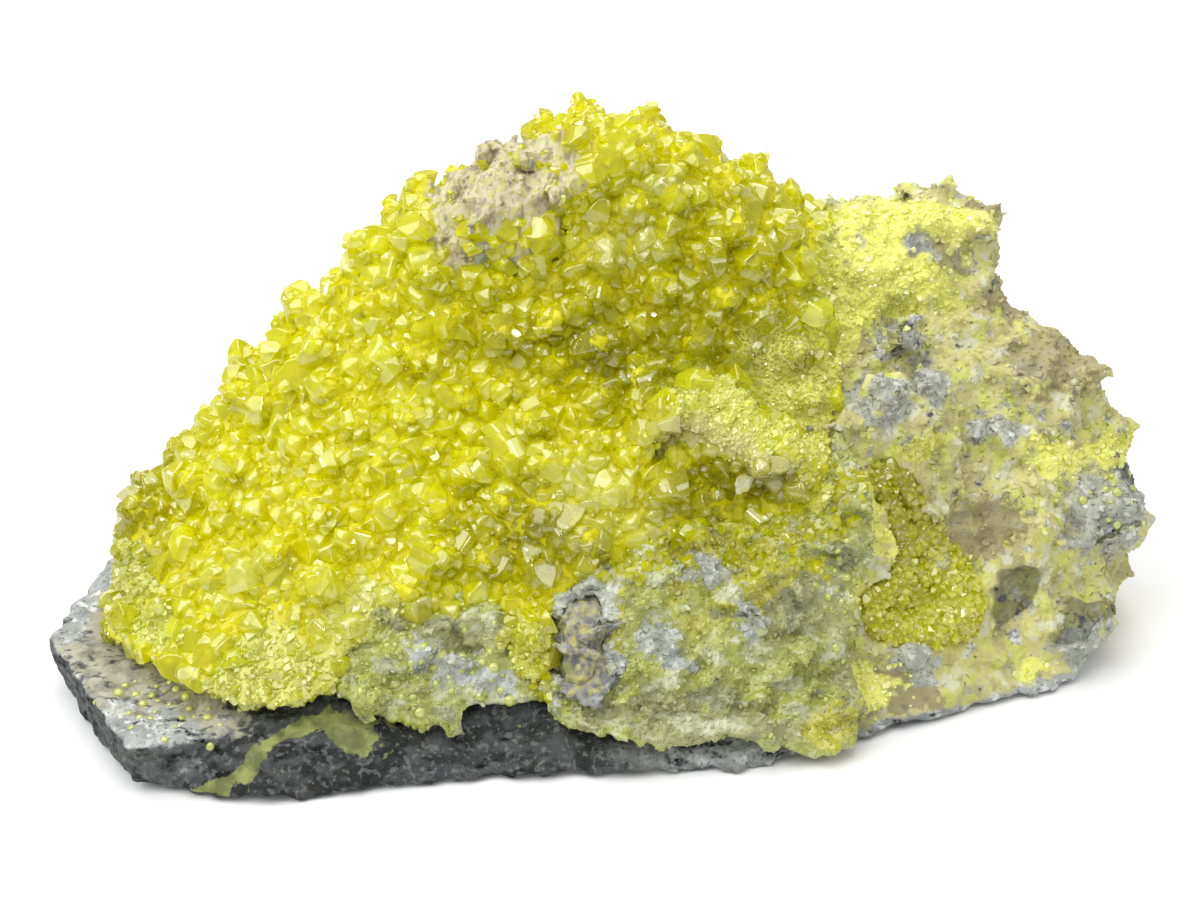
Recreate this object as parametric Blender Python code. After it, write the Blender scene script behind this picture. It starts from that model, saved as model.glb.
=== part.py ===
"""Native sulfur on its host rock, a hand specimen about 230 mm long.

The constants are in millimetres and the scene is in metres. X runs along the specimen, its front faces -Y,
and Z is up from the table. The grey rock is lofted through stations along X, with blocks joined to it and
hollows cut in it. The massive sulfur and the crystal druse are crusts on that rock: its own surface grown
outwards, trimmed to an outline and hollowed by the rock. Single crystals are fused into the druse.

The crusts' outlines are drawn on a plane that leans back with the specimen's front. A point on it is
(u, v): u runs along X and v up the plane, from the table's origin.
"""

import math
import random

import bmesh
import bpy
import numpy as np
from mathutils import Euler, Matrix, Vector, noise

MM = 0.001
LEAN = math.radians(28)  # how far the drawing plane leans back
PLANE_U = Vector((1, 0, 0))
PLANE_V = Vector((0, math.sin(LEAN), math.cos(LEAN)))
INWARD = Vector((0, math.cos(LEAN), -math.sin(LEAN)))  # into the specimen, square to the drawing plane

# The rock's section at each station: x, then (y, z) of its toe, shin, knee, brow, hollow, crest, nape, back
# and heel.
STATIONS = (
    (-110, ((-24, 0), (-26, 4), (-24, 7), (-18, 9), (-12, 10), (-4, 11), (4, 10), (9, 6), (8, 0))),
    (-95, ((-46, 0), (-46, 6), (-42, 10), (-28, 12), (-14, 16), (2, 25), (18, 23), (29, 12), (28, 0))),
    (-72, ((-57, 0), (-53, 8), (-45, 14), (-27, 25), (-11, 37), (4, 53), (22, 47), (40, 26), (42, 0))),
    (-46, ((-54, 0), (-46, 10), (-37, 24), (-24, 41), (-9, 60), (6, 80), (26, 73), (48, 42), (54, 0))),
    (-22, ((-50, 0), (-43, 10), (-34, 26), (-19, 45), (-5, 64), (12, 98), (32, 90), (56, 50), (62, 0))),
    (4, ((-47, 0), (-43, 10), (-33, 28), (-19, 48), (-3, 63), (14, 105), (36, 96), (60, 54), (68, 0))),
    (30, ((-44, 0), (-40, 9), (-31, 28), (-19, 44), (-2, 58), (14, 90), (38, 85), (62, 50), (68, 0))),
    (55, ((-35, 0), (-32, 9), (-25, 25), (-15, 46), (-2, 58), (22, 73), (44, 75), (62, 45), (66, 0))),
    (80, ((-24, 0), (-21, 9), (-12, 28), (-4, 46), (6, 62), (26, 72), (44, 70), (60, 40), (64, 0))),
    (98, ((-17, 0), (-17, 6), (-9, 24), (1, 44), (11, 60), (24, 68), (40, 62), (54, 34), (56, 0))),
    (113, ((0, 5), (-2, 11), (1, 20), (5, 31), (10, 38), (17, 42), (28, 38), (34, 24), (32, 5))),
)
STEPS_ALONG = 6  # rings between two stations
STEPS_ROUND = 5  # points between two of a section's points

# Flat faces where the rock broke at its back and its right end: a point on each and the way it faces.
BREAKS = (
    ((0, 61, 35), (0.06, 0.96, 0.28)),
    ((-48, 47, 40), (-0.34, 0.86, 0.38)),
    ((-88, 27, 12), (-0.55, 0.8, 0.25)),
    ((66, 56, 40), (0.3, 0.9, 0.3)),
    ((99, 41, 24), (0.72, 0.66, 0.2)),
    ((104, 30, 46), (0.66, 0.4, 0.64)),
    ((14, 45, 84), (0.1, 0.72, 0.68)),
    ((-40, 36, 67), (-0.55, 0.6, 0.58)),
)

# The slab that sticks out at the left foot: its outline on the table and its height.
SLAB_OUTLINE = ((-92, -60), (-84, -60), (-58, -50), (-44, -30), (-60, 24), (-98, 24), (-108, 10), (-115, -20))
SLAB_LOW, SLAB_HIGH = 1.5, 12.5
FOOT = 1.2  # rock lower than this is part of the flat foot
DOWNWARD = -0.6  # a face whose normal points lower than this is an underside
SLAB_DRAFT = 0.96  # the underside against the top

# Blocks of rock that stand out of the loft: centre, size, turn in degrees.
BLOCKS = {
    "shoulder": ((65, 28, 76), (46, 32, 35), (-10, 2, 4)),
    "shoulder_foot": ((92, 20, 49), (32, 26, 30), (-8, 4, -8)),
    "end_boulder": ((106, 3, 29), (23, 24, 25), (10, 12, 20)),
    "low_toe": ((97, -12, 10), (30, 18, 17), (0, 8, 18)),
    "vug_brow": ((58, -8, 57), (26, 13, 15), (-25, 4, 6)),
    "vug_jamb": ((87, -9, 28), (18, 16, 34), (-18, 6, 8)),
    "pebble_high": ((63, 4, 68), (8, 7, 9), (20, 30, 10)),
    "pebble_low": ((69, -2, 60), (7, 8, 8), (10, -20, 30)),
    "crag": ((-4, -39, 22), (11, 14, 25), (-28, 8, 0)),
    "summit_patch": ((-18, 7, 94), (27, 19, 25), (-28, 24, 10)),
    "foot_ledge": ((-58, -50, 6), (62, 22, 11), (0, 0, 9)),
}

# The vug, a hollow in the rock's right half, drawn on the leaning plane.
VUG_OUTLINE = ((55, 40), (63, 38), (68, 27), (72, 17), (78, 8), (77, 2), (71, -1), (60, -3), (53, 1), (52, 9),
               (59, 13), (61, 21), (57, 30), (53, 36))
VUG_MOUTH, VUG_FLOOR = -60, -17  # how far in it starts and ends
VUG_TAPER = 0.82  # its floor against its mouth

# The druse and the massive sulfur, drawn on the leaning plane, and how far back the druse reaches in plan.
DRUSE_OUTLINE = ((-103, 24), (-101, 2), (-92, -1), (-84, -3), (-76, -8), (-70, -10), (-61, -10), (-52, -7),
                 (-50, 0), (-40, 6), (-20, 8), (-16, -5), (-10, -6), (-9, 9), (0, 17), (8, 21), (18, 25),
                 (32, 25), (45, 29), (47, 42), (50, 50), (47, 60), (49, 84), (46, 104), (30, 130), (-20, 130),
                 (-62, 104), (-92, 66), (-103, 50))
DRUSE_PLAN = ((-125, 13), (-104, 20), (-92, 13), (-78, 24), (-64, 20), (-50, 32), (-36, 27), (-20, 36),
              (-5, 31), (11, 38), (25, 30), (41, 34), (60, 27), (60, -90), (-125, -90))
DRUSE_LOW = 4
SULFUR_OUTLINE = ((-51, -8), (-41, -13), (-34, -15), (-26, -11), (-11, -9), (-4, -14), (8, -17), (18, -18),
                  (24, -16), (36, -18), (42, -21), (51, -18), (51, -9), (49, 1), (50, 12), (54, 18), (54, 30),
                  (48, 44), (30, 34), (0, 26), (-12, 14), (-40, 12), (-56, 2))
SULFUR_LOW = 1.5
FRONT, MIDDLE, BACK = -120, -6, 60  # where an outline's prism starts or ends, square to the leaning plane
CEILING = 150  # higher than the specimen
TABLE = ((-130, -90), (130, -90), (130, 90), (-130, 90))  # wider than the specimen

DRUSE_THICKNESS = 3.4
SULFUR_THICKNESS = 3.4
ROCK_GAP = 0.6  # between a crust and the rock under it
SEAM_GAP = 0.4  # between the druse and the massive sulfur beside it
RIDGE = ((12, -12, 61), (39, -17, 51), 7)  # the druse's fluffy ridge: its two ends and its radius
ALCOVE = (31, 32, 9)  # the hollow under the ridge: u, v and radius

CRYSTAL_WIDTHS = (7.5, 11)
CRYSTAL_SPACING = 8.3
CRYSTAL_EDGE = 4  # how far a crystal's middle stays inside the druse's outline
FINE_DRUSE = ((-66, -1, 13), (-46, 4, 8), (14, 48, 9), (27, 45, 11), (39, 39, 9))  # u, v and radius
VUG_CRYSTAL_WIDTHS = (3.5, 5.5)
VUG_CRYSTAL_SPACING = 5
VUG_GAP, LINING_THICKNESS = 0.5, 2.5
VUG_LIP = 5  # how far the hollow is run on beyond the lining's mouth
VUG_DEPTH = 12  # how far out from the floor crystals grow
VUG_SPOTS = 3  # the hollow's edges are cut until they are shorter than this
VUG_SINK = 1.6  # how far the lining stays below the rock's skin
CRYSTAL_LEAN = 0.28

# How finely the skins are fused, and how many triangles each is then brought down to.
VOXEL = 1.6
VUG_VOXEL = 2
ROCK_TRIANGLES = 2700
DRUSE_TRIANGLES = 1500
SULFUR_TRIANGLES = 1500
VUG_TRIANGLES = 2000

# Each piece's colour, and how rough it is.
LOOKS = {
    "host_rock": ((0.30, 0.31, 0.29), 0.9),
    "massive_sulfur": ((0.52, 0.60, 0.18), 0.55),
    "crystal_druse": ((0.80, 0.76, 0.02), 0.25),
    "vug_crystals": ((0.50, 0.50, 0.05), 0.3),
}


# Tools


def through(points, steps, closed):
    """The points of a smooth curve that passes through the given ones, with some steps between each two."""
    points = [np.array(p, float) for p in points]
    count = len(points)
    made = []
    for i in range(count if closed else count - 1):
        if closed:
            before, here, there, after = (points[(i + k) % count] for k in (-1, 0, 1, 2))
        else:
            before, here, there = points[max(i - 1, 0)], points[i], points[i + 1]
            after = points[min(i + 2, count - 1)]
        for step in range(steps):
            t = step / steps
            made.append(0.5 * (
                2 * here + (there - before) * t + (2 * before - 5 * here + 4 * there - after) * t ** 2
                + (3 * here - before - 3 * there + after) * t ** 3))
    return made if closed else made + [points[-1]]


def new_object(name, mesh):
    obj = bpy.data.objects.new(name, mesh)
    bpy.context.scene.collection.objects.link(obj)
    return obj


def from_bmesh(name, bm):
    mesh = bpy.data.meshes.new(name)
    bmesh.ops.recalc_face_normals(bm, faces=bm.faces)
    bm.to_mesh(mesh)
    bm.free()
    return new_object(name, mesh)


def copy_of(obj, name):
    return new_object(name, obj.data.copy())


def remove(*objects):
    for obj in objects:
        bpy.data.objects.remove(obj)


def apply_modifiers(obj):
    """Turns the object's evaluated shape into its own mesh, and clears its modifiers."""
    bpy.context.view_layer.update()
    graph = bpy.context.evaluated_depsgraph_get()
    mesh = bpy.data.meshes.new_from_object(obj.evaluated_get(graph))
    obj.modifiers.clear()
    obj.data = mesh
    return obj


def voxels(obj, size):
    """Fuses all the shells that the object holds into one even skin."""
    remesh = obj.modifiers.new("Voxels", "REMESH")
    remesh.mode = "VOXEL"
    remesh.voxel_size = size * MM
    return apply_modifiers(obj)


def decimate(obj, triangles):
    triangulate = obj.modifiers.new("Triangles", "TRIANGULATE")
    triangulate.quad_method = "SHORTEST_DIAGONAL"
    apply_modifiers(obj)
    collapse = obj.modifiers.new("Collapse", "DECIMATE")
    collapse.ratio = min(1.0, triangles / len(obj.data.polygons))
    return apply_modifiers(obj)


def boolean(obj, other, operation):
    modifier = obj.modifiers.new(operation.title(), "BOOLEAN")
    modifier.operation = operation
    modifier.solver = "EXACT"
    modifier.use_self = operation == "UNION"
    modifier.object = other
    return apply_modifiers(obj)


def join(obj, *others):
    """Adds the others' meshes to the object's, as loose shells, and removes them."""
    bm = bmesh.new()
    for each in (obj, *others):
        bm.from_mesh(each.data)
    bm.to_mesh(obj.data)
    bm.free()
    remove(*others)
    return obj


def grow(obj, distance):
    """Moves each point out along its normal, by a length or by a function of its place in millimetres."""
    normals = [v.normal.copy() for v in obj.data.vertices]
    for vertex, normal in zip(obj.data.vertices, normals):
        far = distance(vertex.co / MM, normal) if callable(distance) else distance
        vertex.co += normal * far * MM
    return obj


def on_plane(u, v, inward):
    """The point at (u, v) on the leaning plane and that far in behind it, in millimetres."""
    return PLANE_U * u + PLANE_V * v + INWARD * inward


def prism(name, outline, near, far, far_scale=1.0):
    """The leaning plane's outline run inwards from near to far, drawn in at the far end by far_scale."""
    middle = Vector((sum(u for u, _ in outline), sum(v for _, v in outline))) / len(outline)
    bm = bmesh.new()
    rings = []
    for inward, scale in ((near, 1.0), (far, far_scale)):
        drawn = [middle + (Vector(point) - middle) * scale for point in outline]
        rings.append([bm.verts.new(on_plane(u, v, inward) * MM) for u, v in drawn])
    ends = [bm.edges.new(pair) for ring in rings for pair in zip(ring, ring[1:] + ring[:1])]
    bmesh.ops.bridge_loops(bm, edges=ends)
    for ring in rings:
        bm.faces.new(ring)
    return from_bmesh(name, bm)


def inside(outline, point):
    """Whether a flat point lies inside a closed outline."""
    x, y = point
    within = False
    for (x0, y0), (x1, y1) in zip(outline, outline[1:] + outline[:1]):
        if (y0 > y) != (y1 > y) and x < x0 + (y - y0) * (x1 - x0) / (y1 - y0):
            within = not within
    return within


def offset(outline, distance):
    """The outline moved outwards by a distance, or inwards by a negative one."""
    following = outline[1:] + outline[:1]
    turning = sum(x0 * y1 - x1 * y0 for (x0, y0), (x1, y1) in zip(outline, following))
    moved = []
    for before, here, after in zip(outline[-1:] + outline[:-1], outline, following):
        before, here, after = Vector(before), Vector(here), Vector(after)
        arriving = (here - before).normalized()
        leaving = (after - here).normalized()
        square = Vector((arriving.y, -arriving.x)) * math.copysign(1, turning)
        away = (square + Vector((leaving.y, -leaving.x)) * math.copysign(1, turning)).normalized()
        moved.append(tuple(here + away * distance / max(0.5, away.dot(square))))
    return tuple(moved)


def upright_prism(name, outline, low, high, low_scale=1.0):
    """An outline in plan run up from low to high, its foot drawn in by low_scale."""
    middle = Vector((sum(x for x, _ in outline), sum(y for _, y in outline))) / len(outline)
    bm = bmesh.new()
    foot = [middle + (Vector(point) - middle) * low_scale for point in outline]
    low_ring = [bm.verts.new(Vector((x, y, low)) * MM) for x, y in foot]
    high_ring = [bm.verts.new(Vector((x, y, high)) * MM) for x, y in outline]
    ends = [bm.edges.new(pair) for ring in (low_ring, high_ring) for pair in zip(ring, ring[1:] + ring[:1])]
    bmesh.ops.bridge_loops(bm, edges=ends)
    bm.faces.new(low_ring)
    bm.faces.new(high_ring)
    return from_bmesh(name, bm)


# The host rock


def lofted_rock():
    sections = [[(x, y, z) for y, z in ring] for x, ring in STATIONS]
    lines = [through(line, STEPS_ALONG, closed=False) for line in zip(*sections)]
    bm = bmesh.new()
    rings = []
    for section in zip(*lines):
        ring = through(section, STEPS_ROUND, closed=True)
        rings.append([bm.verts.new((x * MM, y * MM, max(z, 0) * MM)) for x, y, z in ring])
    for ring, following in zip(rings, rings[1:]):
        for i in range(len(ring)):
            j = (i + 1) % len(ring)
            bm.faces.new((ring[i], ring[j], following[j], following[i]))
    bm.faces.new(rings[0])
    bm.faces.new(rings[-1])
    for point, facing in BREAKS:
        everything = list(bm.verts) + list(bm.edges) + list(bm.faces)
        point = Vector(point) * MM
        bmesh.ops.bisect_plane(bm, geom=everything, plane_co=point, plane_no=facing, clear_outer=True)
        bmesh.ops.holes_fill(bm, edges=[edge for edge in bm.edges if edge.is_boundary])
    return from_bmesh("loft", bm)


def block(name, centre, size, turn):
    """An angular boulder: a ball of broad facets, pushed in and out and squared towards its box."""
    chance = random.Random(name)
    bm = bmesh.new()
    bmesh.ops.create_icosphere(bm, subdivisions=2, radius=1)
    for vertex in bm.verts:
        biggest = max(abs(c) for c in vertex.co)
        vertex.co *= (0.5 + 0.36 / biggest) * chance.uniform(0.84, 1.1)
    hull = bmesh.ops.convex_hull(bm, input=bm.verts)
    unused = {g for g in hull["geom_interior"] if isinstance(g, bmesh.types.BMVert)}
    bmesh.ops.delete(bm, geom=list(unused))
    angles = Euler([math.radians(a) for a in turn])
    matrix = Matrix.LocRotScale(Vector(centre) * MM, angles, Vector(size) / 2 * MM)
    bmesh.ops.transform(bm, matrix=matrix, verts=bm.verts)
    return from_bmesh(name, bm)


def covered(place):
    """Whether a place on the rock lies under the druse or the massive sulfur."""
    drawn = (place.dot(PLANE_U), place.dot(PLANE_V))
    under_druse = inside(DRUSE_OUTLINE, drawn) and inside(DRUSE_PLAN, place.xy) and place.z > DRUSE_LOW
    under_sulfur = inside(SULFUR_OUTLINE, drawn) and place.dot(INWARD) < MIDDLE
    return under_druse or under_sulfur


def broken_face(place, normal):
    """How far rough rock stands out at a place: broad lumps with finer breaks, none below or under a crust."""
    if covered(place) or normal.z < DOWNWARD:
        return 0
    broad = noise.fractal(place / 17, 0.9, 2.1, 3)
    chip = noise.voronoi(place / 9)[0][0] - 0.45
    return 1.7 * broad + 1.6 * chip


def sit_flat(obj):
    """Presses everything near the table down, or up, on to it."""
    for vertex in obj.data.vertices:
        if vertex.co.z < FOOT * MM:
            vertex.co.z = 0
    return obj


def rock_body(with_blocks):
    body = lofted_rock()
    if with_blocks:
        blocks = [block(name, *values) for name, values in BLOCKS.items()]
        join(body, *blocks)
    voxels(body, VOXEL)
    grow(body, broken_face)
    return sit_flat(body)


def vug_prism(name, smaller_by, mouth=VUG_MOUTH):
    """The vug's hollow, or one smaller on every side but the mouth."""
    return prism(name, offset(VUG_OUTLINE, -smaller_by), mouth, VUG_FLOOR - smaller_by, VUG_TAPER)


# Crystals


def crystal(bm, place, direction, width, chance):
    """A blunt sulfur pyramid on a rhombus, its foot buried: a ring at the foot, the shoulder and the tip."""
    place = Matrix.Translation(place * MM) @ direction.to_track_quat("Z", "Y").to_matrix().to_4x4()
    place = place @ Matrix.Rotation(chance.uniform(0, math.tau), 4, "Z")
    long, short = width / 2, width / 2 * chance.uniform(0.68, 0.85)
    corners = ((long, 0), (0, short), (-long, 0), (0, -short))
    tip = chance.uniform(0.3, 0.5)
    rings = []
    for scale, height in ((0.7, -0.3), (1.0, 0.05), (tip, chance.uniform(0.45, 0.6))):
        ring = [Vector((x * scale, y * scale, height * width)) for x, y in corners]
        rings.append([bm.verts.new(place @ (point * MM)) for point in ring])
    for ring, following in zip(rings, rings[1:]):
        for i in range(4):
            bm.faces.new((ring[i], ring[i - 3], following[i - 3], following[i]))
    bm.faces.new(rings[0])
    bm.faces.new(rings[-1])


def scatter(name, spots, widths, spacing, allowed, seed):
    """Crystals on some of the spots, each a place and a direction, kept apart and leaning every way."""
    chance = random.Random(seed)
    chance.shuffle(spots)
    bm = bmesh.new()
    taken = []
    for place, direction in spots:
        if not allowed(place) or any((place - other).length < spacing for other in taken):
            continue
        taken.append(place)
        lean = Vector([chance.gauss(0, CRYSTAL_LEAN) for _ in range(3)])
        crystal(bm, place, (direction + lean).normalized(), chance.uniform(*widths), chance)
    return from_bmesh(name, bm)


# The crusts


def druse_thickness(place, normal):
    """The druse swells and thins; it thickens to a lip at its foot and is thin in the alcove."""
    swell = 1.3 * noise.fractal(place / 15, 0.9, 2.0, 2)
    lip = 2.6 * max(0.0, 1 - max(place.z - 14, 0) / 16)
    u, v, radius = ALCOVE
    hollow = 2 * max(0.0, 1 - math.hypot(place.dot(PLANE_U) - u, place.dot(PLANE_V) - v) / radius)
    return DRUSE_THICKNESS + swell + lip - hollow


def sulfur_thickness(place, normal):
    return SULFUR_THICKNESS + 1.1 * noise.fractal(place / 13, 0.9, 2.0, 2)


def ridge():
    """A long rounded lump laid along the druse's ridge."""
    start, end, radius = Vector(RIDGE[0]), Vector(RIDGE[1]), RIDGE[2]
    bm = bmesh.new()
    bmesh.ops.create_icosphere(bm, subdivisions=3, radius=1)
    along = (end - start).to_track_quat("X", "Z")
    size = Vector(((end - start).length / 2 + radius, radius, radius * 0.85))
    matrix = Matrix.LocRotScale((start + end) / 2 * MM, along, size * MM)
    bmesh.ops.transform(bm, matrix=matrix, verts=bm.verts)
    return from_bmesh("ridge", bm)


def crust(name, skin, thickness, *lumps):
    """The rock's bare skin grown outwards, with lumps fused to it."""
    envelope = grow(copy_of(skin, name), thickness)
    join(envelope, *lumps)
    return voxels(envelope, VOXEL)


def keep_largest(obj):
    """Drops every loose shell but the one with the most faces."""
    bm = bmesh.new()
    bm.from_mesh(obj.data)
    left = set(bm.faces)
    shells = []
    while left:
        shell = [left.pop()]
        for face in shell:
            near = {f for edge in face.edges for f in edge.link_faces} & left
            left -= near
            shell.extend(near)
        shells.append(shell)
    shells.sort(key=len)
    lost = [face for shell in shells[:-1] for face in shell]
    bmesh.ops.delete(bm, geom=lost, context="FACES")
    bm.to_mesh(obj.data)
    bm.free()
    return obj


# The pieces


def host_rock():
    rock = decimate(rock_body(with_blocks=True), ROCK_TRIANGLES)
    sit_flat(rock)
    boolean(rock, upright_prism("slab", SLAB_OUTLINE, SLAB_LOW, SLAB_HIGH, SLAB_DRAFT), "UNION")
    boolean(rock, vug_prism("vug", 0), "DIFFERENCE")
    rock.name = "host_rock"
    return keep_largest(rock)


def crystal_druse(skin, around_rock):
    druse = crust("crystal_druse", skin, druse_thickness, ridge())
    outline, plan = offset(DRUSE_OUTLINE, -CRYSTAL_EDGE), offset(DRUSE_PLAN, -CRYSTAL_EDGE)

    def allowed(place):
        u, v = place.dot(PLANE_U), place.dot(PLANE_V)
        fine = any(math.hypot(u - fine_u, v - fine_v) < radius for fine_u, fine_v, radius in FINE_DRUSE)
        within = inside(outline, (u, v)) and inside(plan, place.xy) and place.z > DRUSE_LOW + CRYSTAL_EDGE
        return within and not fine

    spots = [(vertex.co / MM, vertex.normal.copy()) for vertex in druse.data.vertices]
    crystals = scatter("crystals", spots, CRYSTAL_WIDTHS, CRYSTAL_SPACING, allowed, seed=11)
    decimate(druse, DRUSE_TRIANGLES)
    boolean(druse, crystals, "UNION")
    boolean(druse, upright_prism("druse_plan", DRUSE_PLAN, DRUSE_LOW, CEILING), "INTERSECT")
    boolean(druse, prism("druse_zone", DRUSE_OUTLINE, FRONT, BACK), "INTERSECT")
    boolean(druse, around_rock, "DIFFERENCE")
    return keep_largest(druse)


def massive_sulfur(skin, around_rock):
    sulfur = decimate(crust("massive_sulfur", skin, sulfur_thickness), SULFUR_TRIANGLES)
    boolean(sulfur, prism("sulfur_zone", SULFUR_OUTLINE, FRONT, MIDDLE), "INTERSECT")
    boolean(sulfur, upright_prism("sulfur_floor", TABLE, SULFUR_LOW, CEILING), "INTERSECT")
    boolean(sulfur, prism("beside_druse", offset(DRUSE_OUTLINE, SEAM_GAP), FRONT, BACK), "DIFFERENCE")
    boolean(sulfur, around_rock, "DIFFERENCE")
    return keep_largest(sulfur)


def vug_crystals(rock_without_vug):
    """A thin lining in the vug, clear of the rock, with crystals that grow into the hollow."""
    lining = vug_prism("vug_crystals", VUG_GAP)
    hollow = vug_prism("hollow", VUG_GAP + LINING_THICKNESS, mouth=VUG_MOUTH - VUG_LIP)
    boolean(lining, hollow, "DIFFERENCE")
    bm = bmesh.new()
    bm.from_mesh(hollow.data)
    for _ in range(4):
        bmesh.ops.triangulate(bm, faces=bm.faces)
        wide = [edge for edge in bm.edges if edge.calc_length() > VUG_SPOTS * MM]
        bmesh.ops.subdivide_edges(bm, edges=wide, cuts=1)
    bm.normal_update()
    spots = [(face.calc_center_median() / MM, -face.normal) for face in bm.faces]
    bm.free()

    def allowed(place):
        return place.dot(INWARD) > VUG_FLOOR - VUG_DEPTH

    growth = scatter("growth", spots, VUG_CRYSTAL_WIDTHS, VUG_CRYSTAL_SPACING, allowed, seed=4)
    boolean(lining, growth, "UNION")
    within_rock = voxels(grow(rock_without_vug, -VUG_SINK), VUG_VOXEL)
    boolean(lining, decimate(within_rock, VUG_TRIANGLES), "INTERSECT")
    return keep_largest(lining)


# Build


def clear_scene():
    for obj in list(bpy.data.objects):
        bpy.data.objects.remove(obj)


def finish(pieces):
    """Leaves only the pieces, gives each its material, and stands them on the middle of the table."""
    for obj in list(bpy.data.objects):
        if obj not in pieces:
            remove(obj)
    corners = np.array([vertex.co for obj in pieces for vertex in obj.data.vertices])
    low, high = corners.min(axis=0), corners.max(axis=0)
    shift = Vector((-(low[0] + high[0]) / 2, -(low[1] + high[1]) / 2, -low[2]))
    print("Moved by", [round(c / MM, 2) for c in shift], "mm to stand on the middle of the table")
    for obj in pieces:
        obj.data.transform(Matrix.Translation(shift))
        colour, roughness = LOOKS[obj.name]
        material = bpy.data.materials.new(obj.name)
        material.use_nodes = True
        shader = material.node_tree.nodes["Principled BSDF"]
        shader.inputs["Base Color"].default_value = (*colour, 1)
        shader.inputs["Roughness"].default_value = roughness
        shader.inputs["Metallic"].default_value = 0
        obj.data.materials.clear()
        obj.data.materials.append(material)


clear_scene()
rock = host_rock()
around_rock = grow(copy_of(rock, "around_rock"), ROCK_GAP)
skin = rock_body(with_blocks=False)
druse = crystal_druse(skin, around_rock)
sulfur = massive_sulfur(skin, around_rock)
vug = vug_crystals(rock_body(with_blocks=True))
finish([rock, sulfur, druse, vug])
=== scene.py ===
"""Native sulfur crystals on their host rock.

The script builds the specimen up from the grey rock and its crumbs: the massive sulfur on its front, the druse
of crystals over its left slope and summit, the sugar, lime druse and beads, and the lined vug.
"""

import math
import random

import bpy
import numpy as np
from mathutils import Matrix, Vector, noise


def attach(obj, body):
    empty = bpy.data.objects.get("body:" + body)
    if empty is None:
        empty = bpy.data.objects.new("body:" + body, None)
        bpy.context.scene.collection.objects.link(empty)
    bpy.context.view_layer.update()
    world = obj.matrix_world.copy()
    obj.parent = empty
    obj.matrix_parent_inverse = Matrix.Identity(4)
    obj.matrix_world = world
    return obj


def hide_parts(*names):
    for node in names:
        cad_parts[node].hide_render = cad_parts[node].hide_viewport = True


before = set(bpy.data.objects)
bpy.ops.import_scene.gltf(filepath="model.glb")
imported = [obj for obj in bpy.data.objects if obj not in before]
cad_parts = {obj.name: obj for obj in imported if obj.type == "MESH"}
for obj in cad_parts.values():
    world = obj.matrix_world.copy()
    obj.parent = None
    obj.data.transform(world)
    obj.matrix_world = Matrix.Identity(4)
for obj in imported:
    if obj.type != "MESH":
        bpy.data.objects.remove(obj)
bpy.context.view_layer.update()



# The table, the light and the camera. The specimen lies on a white sweep under broad overhead panels, and
# small lamps among them put the glints on the crystal faces.

MM = 0.001
AIM = Vector((-0.65, -3.86, 45)) * MM
CAMERA_HEIGHT = math.radians(28)
CAMERA_DISTANCE = 486 * MM
TOWARD_VIEWER = Vector((0, -math.cos(CAMERA_HEIGHT), math.sin(CAMERA_HEIGHT)))
LENS = 70
SKY_STRENGTH = 0.33
PAPER_WHITE = (0.9, 0.9, 0.9, 1)
PAPER_SUNK = 0.2 * MM


def panel(name, place, size, watts):
    """A square white area light that faces the specimen."""
    bpy.ops.object.light_add(type="AREA", location=place)
    lamp = bpy.context.active_object
    lamp.name = name
    lamp.rotation_euler = (AIM - lamp.location).to_track_quat("-Z", "Y").to_euler()
    lamp.data.size = size
    lamp.data.energy = watts


bpy.ops.object.select_all(action="DESELECT")
panel("panel_over", (-0.15, -0.05, 1.1), 1.3, 11)
panel("panel_left", (-0.95, -0.55, 0.9), 0.8, 6.5)
panel("panel_right", (0.9, -0.3, 0.8), 0.4, 1.5)
panel("panel_behind", (0.1, 0.9, 0.9), 0.5, 3.7)
panel("glint_left", (-0.5, -0.8, 1.0), 0.13, 0.9)
panel("glint_right", (0.45, -0.7, 0.9), 0.11, 0.6)
panel("glint_over", (0.05, -0.3, 1.2), 0.12, 0.7)
panel("glint_front", (-0.1, -1.1, 0.75), 0.1, 0.5)
panel("glint_side", (-0.9, -0.1, 0.7), 0.11, 0.6)

world = bpy.data.worlds.new("studio")
world.use_nodes = True
world.node_tree.nodes["Background"].inputs["Color"].default_value = (1, 1, 1, 1)
world.node_tree.nodes["Background"].inputs["Strength"].default_value = SKY_STRENGTH
bpy.context.scene.world = world
bpy.context.scene.view_settings.view_transform = "Standard"

bpy.ops.mesh.primitive_plane_add(size=8, location=(0, 0, -PAPER_SUNK))
floor = bpy.context.active_object
floor.name = "floor"
paper = bpy.data.materials.new("white_paper")
paper.use_nodes = True
paper.node_tree.nodes["Principled BSDF"].inputs["Base Color"].default_value = PAPER_WHITE
paper.node_tree.nodes["Principled BSDF"].inputs["Roughness"].default_value = 0.9
floor.data.materials.append(paper)

bpy.ops.object.camera_add(location=AIM + TOWARD_VIEWER * CAMERA_DISTANCE)
camera = bpy.context.active_object
camera.rotation_euler = (-TOWARD_VIEWER).to_track_quat("-Z", "Y").to_euler()
camera.data.lens = LENS
camera.data.clip_start = 10 * MM
bpy.context.scene.camera = camera


# The host rock: a grey, foliated, altered lava, broken off its outcrop. Its mica and pyroxene show as black
# streaks along the bedding, and sulfur dust has dyed the whole right half cream and lime.

ROCK_VOXEL = 1.05 * MM
SAME_POINT = 0.001 * MM
UP = Vector((0, 0, 1))
UP_THE_FRONT = Vector((0, math.sin(CAMERA_HEIGHT), math.cos(CAMERA_HEIGHT)))
noise.seed_set(5)  # otherwise the clock seeds it, and each run differs


def only(piece):
    """Selects the piece and nothing else, and makes it the active object."""
    bpy.ops.object.select_all(action="DESELECT")
    piece.select_set(True)
    bpy.context.view_layer.objects.active = piece


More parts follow.
